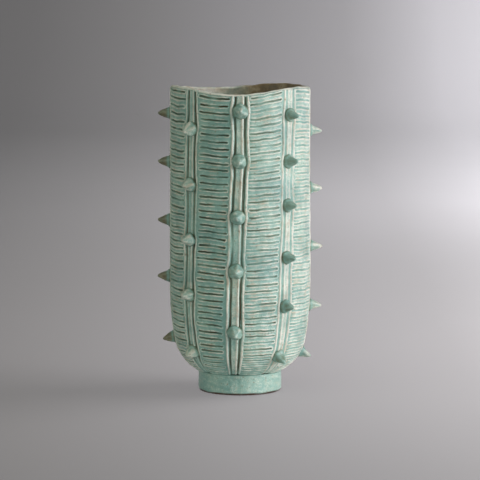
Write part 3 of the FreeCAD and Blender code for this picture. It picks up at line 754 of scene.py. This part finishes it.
# ---------------------------------------------------------------- materials
class Nodes:
    """Short calls for building a node material."""

    def __init__(self, name):
        self.material = bpy.data.materials.new(name)
        self.material.use_nodes = True
        self.tree = self.material.node_tree
        self.shader = self.tree.nodes["Principled BSDF"]
        self.place = self.tree.nodes.new("ShaderNodeTexCoord").outputs["Object"]

    def join(self, value, socket):
        """Links a node's output to a socket, or sets the socket to a number or colour."""
        if hasattr(value, "is_output"):
            self.tree.links.new(value, socket)
        else:
            socket.default_value = value

    def attribute(self, name):
        node = self.tree.nodes.new("ShaderNodeAttribute")
        node.attribute_name = name
        return node.outputs["Fac"]

    def along(self, axis):
        """The place along X, Y or Z, in metres."""
        node = self.tree.nodes.new("ShaderNodeSeparateXYZ")
        self.tree.links.new(self.place, node.inputs["Vector"])
        return node.outputs[axis]

    def noise(self, scale, detail=3.0, roughness=0.55, stretch=None):
        place = self.place
        if stretch:
            mapping = self.tree.nodes.new("ShaderNodeMapping")
            mapping.inputs["Scale"].default_value = stretch
            self.tree.links.new(place, mapping.inputs["Vector"])
            place = mapping.outputs["Vector"]
        node = self.tree.nodes.new("ShaderNodeTexNoise")
        self.tree.links.new(place, node.inputs["Vector"])
        node.inputs["Scale"].default_value = scale
        node.inputs["Detail"].default_value = detail
        node.inputs["Roughness"].default_value = roughness
        return node.outputs["Fac"]

    def math(self, kind, *values):
        node = self.tree.nodes.new("ShaderNodeMath")
        node.operation = kind
        for value, socket in zip(values, node.inputs):
            self.join(value, socket)
        return node.outputs["Value"]

    def spread(self, value, low, high, to_low=0.0, to_high=1.0):
        """Maps low to to_low and high to to_high, and holds the value between them."""
        node = self.tree.nodes.new("ShaderNodeMapRange")
        for name, number in (("From Min", low), ("From Max", high), ("To Min", to_low), ("To Max", to_high)):
            node.inputs[name].default_value = number
        self.join(value, node.inputs["Value"])
        return node.outputs["Result"]

    def ramp(self, value, stops):
        node = self.tree.nodes.new("ShaderNodeValToRGB")
        elements = node.color_ramp.elements
        while len(elements) < len(stops):
            elements.new(0.5)
        for element, (position, tint) in zip(elements, stops):
            element.position = position
            element.color = tint
        self.join(value, node.inputs["Fac"])
        return node.outputs["Color"]

    def mix(self, share, first, second):
        node = self.tree.nodes.new("ShaderNodeMix")
        node.data_type = "RGBA"
        self.join(share, node.inputs["Factor"])
        colour_inputs = (socket for socket in node.inputs if socket.type == "RGBA")
        for value, socket in zip((first, second), colour_inputs):
            self.join(value, socket)
        return next(socket for socket in node.outputs if socket.type == "RGBA")

    def bump(self, height, strength, distance):
        node = self.tree.nodes.new("ShaderNodeBump")
        node.inputs["Strength"].default_value = strength
        node.inputs["Distance"].default_value = distance
        self.tree.links.new(height, node.inputs["Height"])
        self.tree.links.new(node.outputs["Normal"], self.shader.inputs["Normal"])


def colour(red, green, blue):
    """A colour given as on a screen, from 0 to 255, as the linear colour that a shader takes."""
    return (*(((c / 255 + 0.055) / 1.055) ** 2.4 for c in (red, green, blue)), 1.0)


def glaze_material():
    """Celadon that pools teal on the flats, breaks to cream on every crest and goes dark in the cuts."""
    n = Nodes("celadon_glaze")
    relief, inside, bare = n.attribute("relief"), n.attribute("inside"), n.attribute("bare")
    patches, mottle, grain = n.noise(26.0, 2.0), n.noise(190.0, 4.0), n.noise(900.0, 3.0, 0.65)
    uneven = n.math("MULTIPLY_ADD", mottle, 0.8, -0.4)
    uneven = n.math("MULTIPLY_ADD", n.math("SUBTRACT", grain, 0.5), 1.0, uneven)
    thickness = n.spread(n.math("ADD", relief, uneven), -1.2, 0.6)
    glaze = n.ramp(thickness, [
        (0.0, colour(72, 64, 42)), (0.22, colour(96, 112, 92)), (0.46, colour(108, 148, 138)),
        (0.66, colour(124, 163, 154)), (0.80, colour(168, 190, 177)), (0.93, colour(208, 208, 196)),
    ])
    glaze = n.mix(n.spread(patches, 0.35, 0.65, 0.0, 0.25), glaze, colour(158, 188, 166))
    deep = n.noise(34.0, 3.0, 0.6)
    glaze = n.mix(n.spread(deep, 0.36, 0.52, 0.42, 0.0), glaze, colour(84, 130, 124))
    on_crests = n.spread(thickness, 0.62, 0.86, 0.0, 0.5)
    rust = n.math("MULTIPLY", n.spread(n.noise(75.0, 3.0, 0.6), 0.52, 0.68), on_crests)
    glaze = n.mix(rust, glaze, colour(150, 132, 98))
    specks = n.spread(n.noise(520.0, 2.0, 0.5), 0.62, 0.71, 0.0, 0.6)
    glaze = n.mix(specks, glaze, colour(112, 92, 62))
    surface = n.mix(inside, glaze, liner_colour(n, mottle))
    surface = n.mix(bare, surface, clay_colour(n))
    n.join(surface, n.shader.inputs["Base Color"])
    gloss = n.math("MULTIPLY_ADD", mottle, 0.16, n.math("MULTIPLY_ADD", bare, 0.4, 0.3))
    n.join(gloss, n.shader.inputs["Roughness"])
    n.bump(n.math("ADD", grain, n.math("MULTIPLY", mottle, 1.6)), 0.5, 0.0006)
    return n.material


def liner_colour(n, mottle):
    """The thin brown wash inside, which ran in broad patches."""
    washes = n.noise(60.0, 5.0, 0.7, (1.0, 1.0, 0.55))
    return n.ramp(n.math("MULTIPLY_ADD", washes, 0.7, n.math("MULTIPLY", mottle, 0.3)), [
        (0.34, colour(68, 56, 34)), (0.5, colour(116, 97, 64)), (0.66, colour(166, 156, 126)),
    ])


def clay_colour(n):
    """Brown fired clay with no glaze on it, made darker still as painted shade for the dark line under the
    foot.
    """
    return n.ramp(n.noise(420.0, 5.0, 0.7), [(0.35, colour(36, 26, 19)), (0.6, colour(72, 54, 40))])


def floor_material():
    """A matt grey backdrop with painted shade, which makes it a little darker to the left."""
    n = Nodes("studio_floor")
    aside = n.spread(n.along("X"), -0.5, 0.5)
    # painted shade: the grey darkens towards the left
    tone = n.ramp(n.math("MULTIPLY_ADD", n.noise(2.2, 2.0), 0.06, aside), [
        (0.03, colour(97, 95, 97)), (0.3, colour(104, 102, 104)), (0.53, colour(109, 107, 110)),
        (0.78, colour(111, 109, 112)), (1.0, colour(126, 124, 128)),
    ])
    n.join(tone, n.shader.inputs["Base Color"])
    n.shader.inputs["Roughness"].default_value = 0.75
    n.shader.inputs["Specular IOR Level"].default_value = 0.25
    return n.material


# ---------------------------------------------------------------- studio
def make_sweep():
    """A floor that curves up into a back wall, in metres."""
    half_width, front, back, bend, top = 7.0, -7.0, 5.2, 1.8, 5.0
    outline = [(front, 0.0), (back - bend, 0.0)]
    outline += [(back - bend + bend * math.sin(turn), bend * (1 - math.cos(turn)))
                for turn in np.linspace(0.0, math.pi / 2, 16)[1:]]
    outline.append((back, top))
    points = [(x, y, z) for y, z in outline for x in (-half_width, half_width)]
    faces = [(2 * i, 2 * i + 1, 2 * i + 3, 2 * i + 2) for i in range(len(outline) - 1)]
    mesh = bpy.data.meshes.new("studio_sweep")
    mesh.from_pydata(points, [], faces)
    mesh.polygons.foreach_set("use_smooth", [True] * len(mesh.polygons))
    mesh.materials.append(floor_material())
    sweep = bpy.data.objects.new("studio_sweep", mesh)
    bpy.context.scene.collection.objects.link(sweep)
    backdrop.objects.link(sweep)


def add_light(name, place, aim, size, power, tint=(1.0, 1.0, 1.0)):
    """A soft rectangular light at `place`, turned towards `aim`, in metres and watts."""
    data = bpy.data.lights.new(name, "AREA")
    data.shape, data.size, data.size_y = "RECTANGLE", *size
    data.energy, data.color = power, tint
    light = bpy.data.objects.new(name, data)
    bpy.context.scene.collection.objects.link(light)
    light.location = place
    light.rotation_euler = facing(place, aim)
    light.visible_camera = False
    return light


def facing(place, aim):
    """The rotation that turns a light or a camera at `place` towards `aim`."""
    return (Vector(aim) - Vector(place)).to_track_quat("-Z", "Y").to_euler()


def light_only(light, receivers, blockers=None):
    """Makes a light shine only on the pieces of one collection, with shadows only from those of another."""
    light.light_linking.receiver_collection = receivers
    if blockers is not None:
        light.light_linking.blocker_collection = blockers


def make_studio():
    """A soft key from the right, a weak fill, and lamps for the backdrop that leave the vase alone."""
    scene = bpy.context.scene
    scene.view_settings.view_transform = "Standard"
    world = bpy.data.worlds.new("studio")
    scene.world = world
    world.use_nodes = True
    surroundings = world.node_tree.nodes["Background"]
    surroundings.inputs["Color"].default_value = (0.94, 1.0, 0.89, 1.0)
    surroundings.inputs["Strength"].default_value = 0.42
    middle = (0.0, 0.0, 0.16)
    key = add_light("key", (2.16, -0.85, 1.0), middle, (0.9, 1.6), 66.0, (1.0, 0.9, 0.97))
    light_only(key, vase_pieces)
    add_light("fill", (-2.0, -0.9, 0.4), middle, (1.5, 1.5), 11.0, (1.0, 0.97, 0.86))
    bounce = add_light("bounce", (0.5, -0.9, -0.5), (0.0, 0.0, 0.1), (1.2, 1.2), 5.0, (1.0, 0.99, 0.96))
    light_only(bounce, vase_pieces, vase_pieces)
    floor_lights = [
        add_light("floor_near", (1.3, 0.2, 0.9), (0.2, 0.3, 0.0), (1.0, 1.0), 58.0, (1.0, 0.98, 0.965)),
        add_light("floor_middle", (1.2, 1.9, 0.7), (0.5, 2.1, 0.0), (0.8, 0.8), 54.0),
        add_light("floor_back", (1.3, 3.0, 0.7), (0.6, 3.2, 0.0), (0.8, 0.8), 32.0),
        add_light("floor_far", (1.4, 3.9, 0.8), (0.7, 4.8, 0.15), (0.8, 0.8), 37.0),
    ]
    for light in floor_lights:
        light_only(light, backdrop, backdrop)
    shadow = add_light("floor_shadow", (1.3, 0.1, 1.0), (0.1, 0.0, 0.0), (1.3, 1.3), 26.0, (1.0, 0.98, 0.955))
    light_only(shadow, backdrop)


def make_camera():
    """A long lens at the height and distance from which the vase is seen."""
    data = bpy.data.cameras.new("camera")
    data.lens, data.sensor_width = 235.5, 36.0
    data.clip_end = 60.0
    camera = bpy.data.objects.new("camera", data)
    bpy.context.scene.collection.objects.link(camera)
    place, aim = (0.0, -3.40, 0.5645), (0.0, 0.0, 0.1645)
    camera.location = place
    camera.rotation_euler = facing(place, aim)
    bpy.context.scene.camera = camera


# ---------------------------------------------------------------- the whole
glaze = glaze_material()
make_wall(glaze)
make_foot_ring(glaze)
make_floor(glaze)
for rib in ribs:
    make_rib(rib, glaze)
    for number, thorn in enumerate(rib.thorns):
        make_thorn(thorn, rib.seed + 50 + number, glaze)
make_sweep()
make_studio()
make_camera()
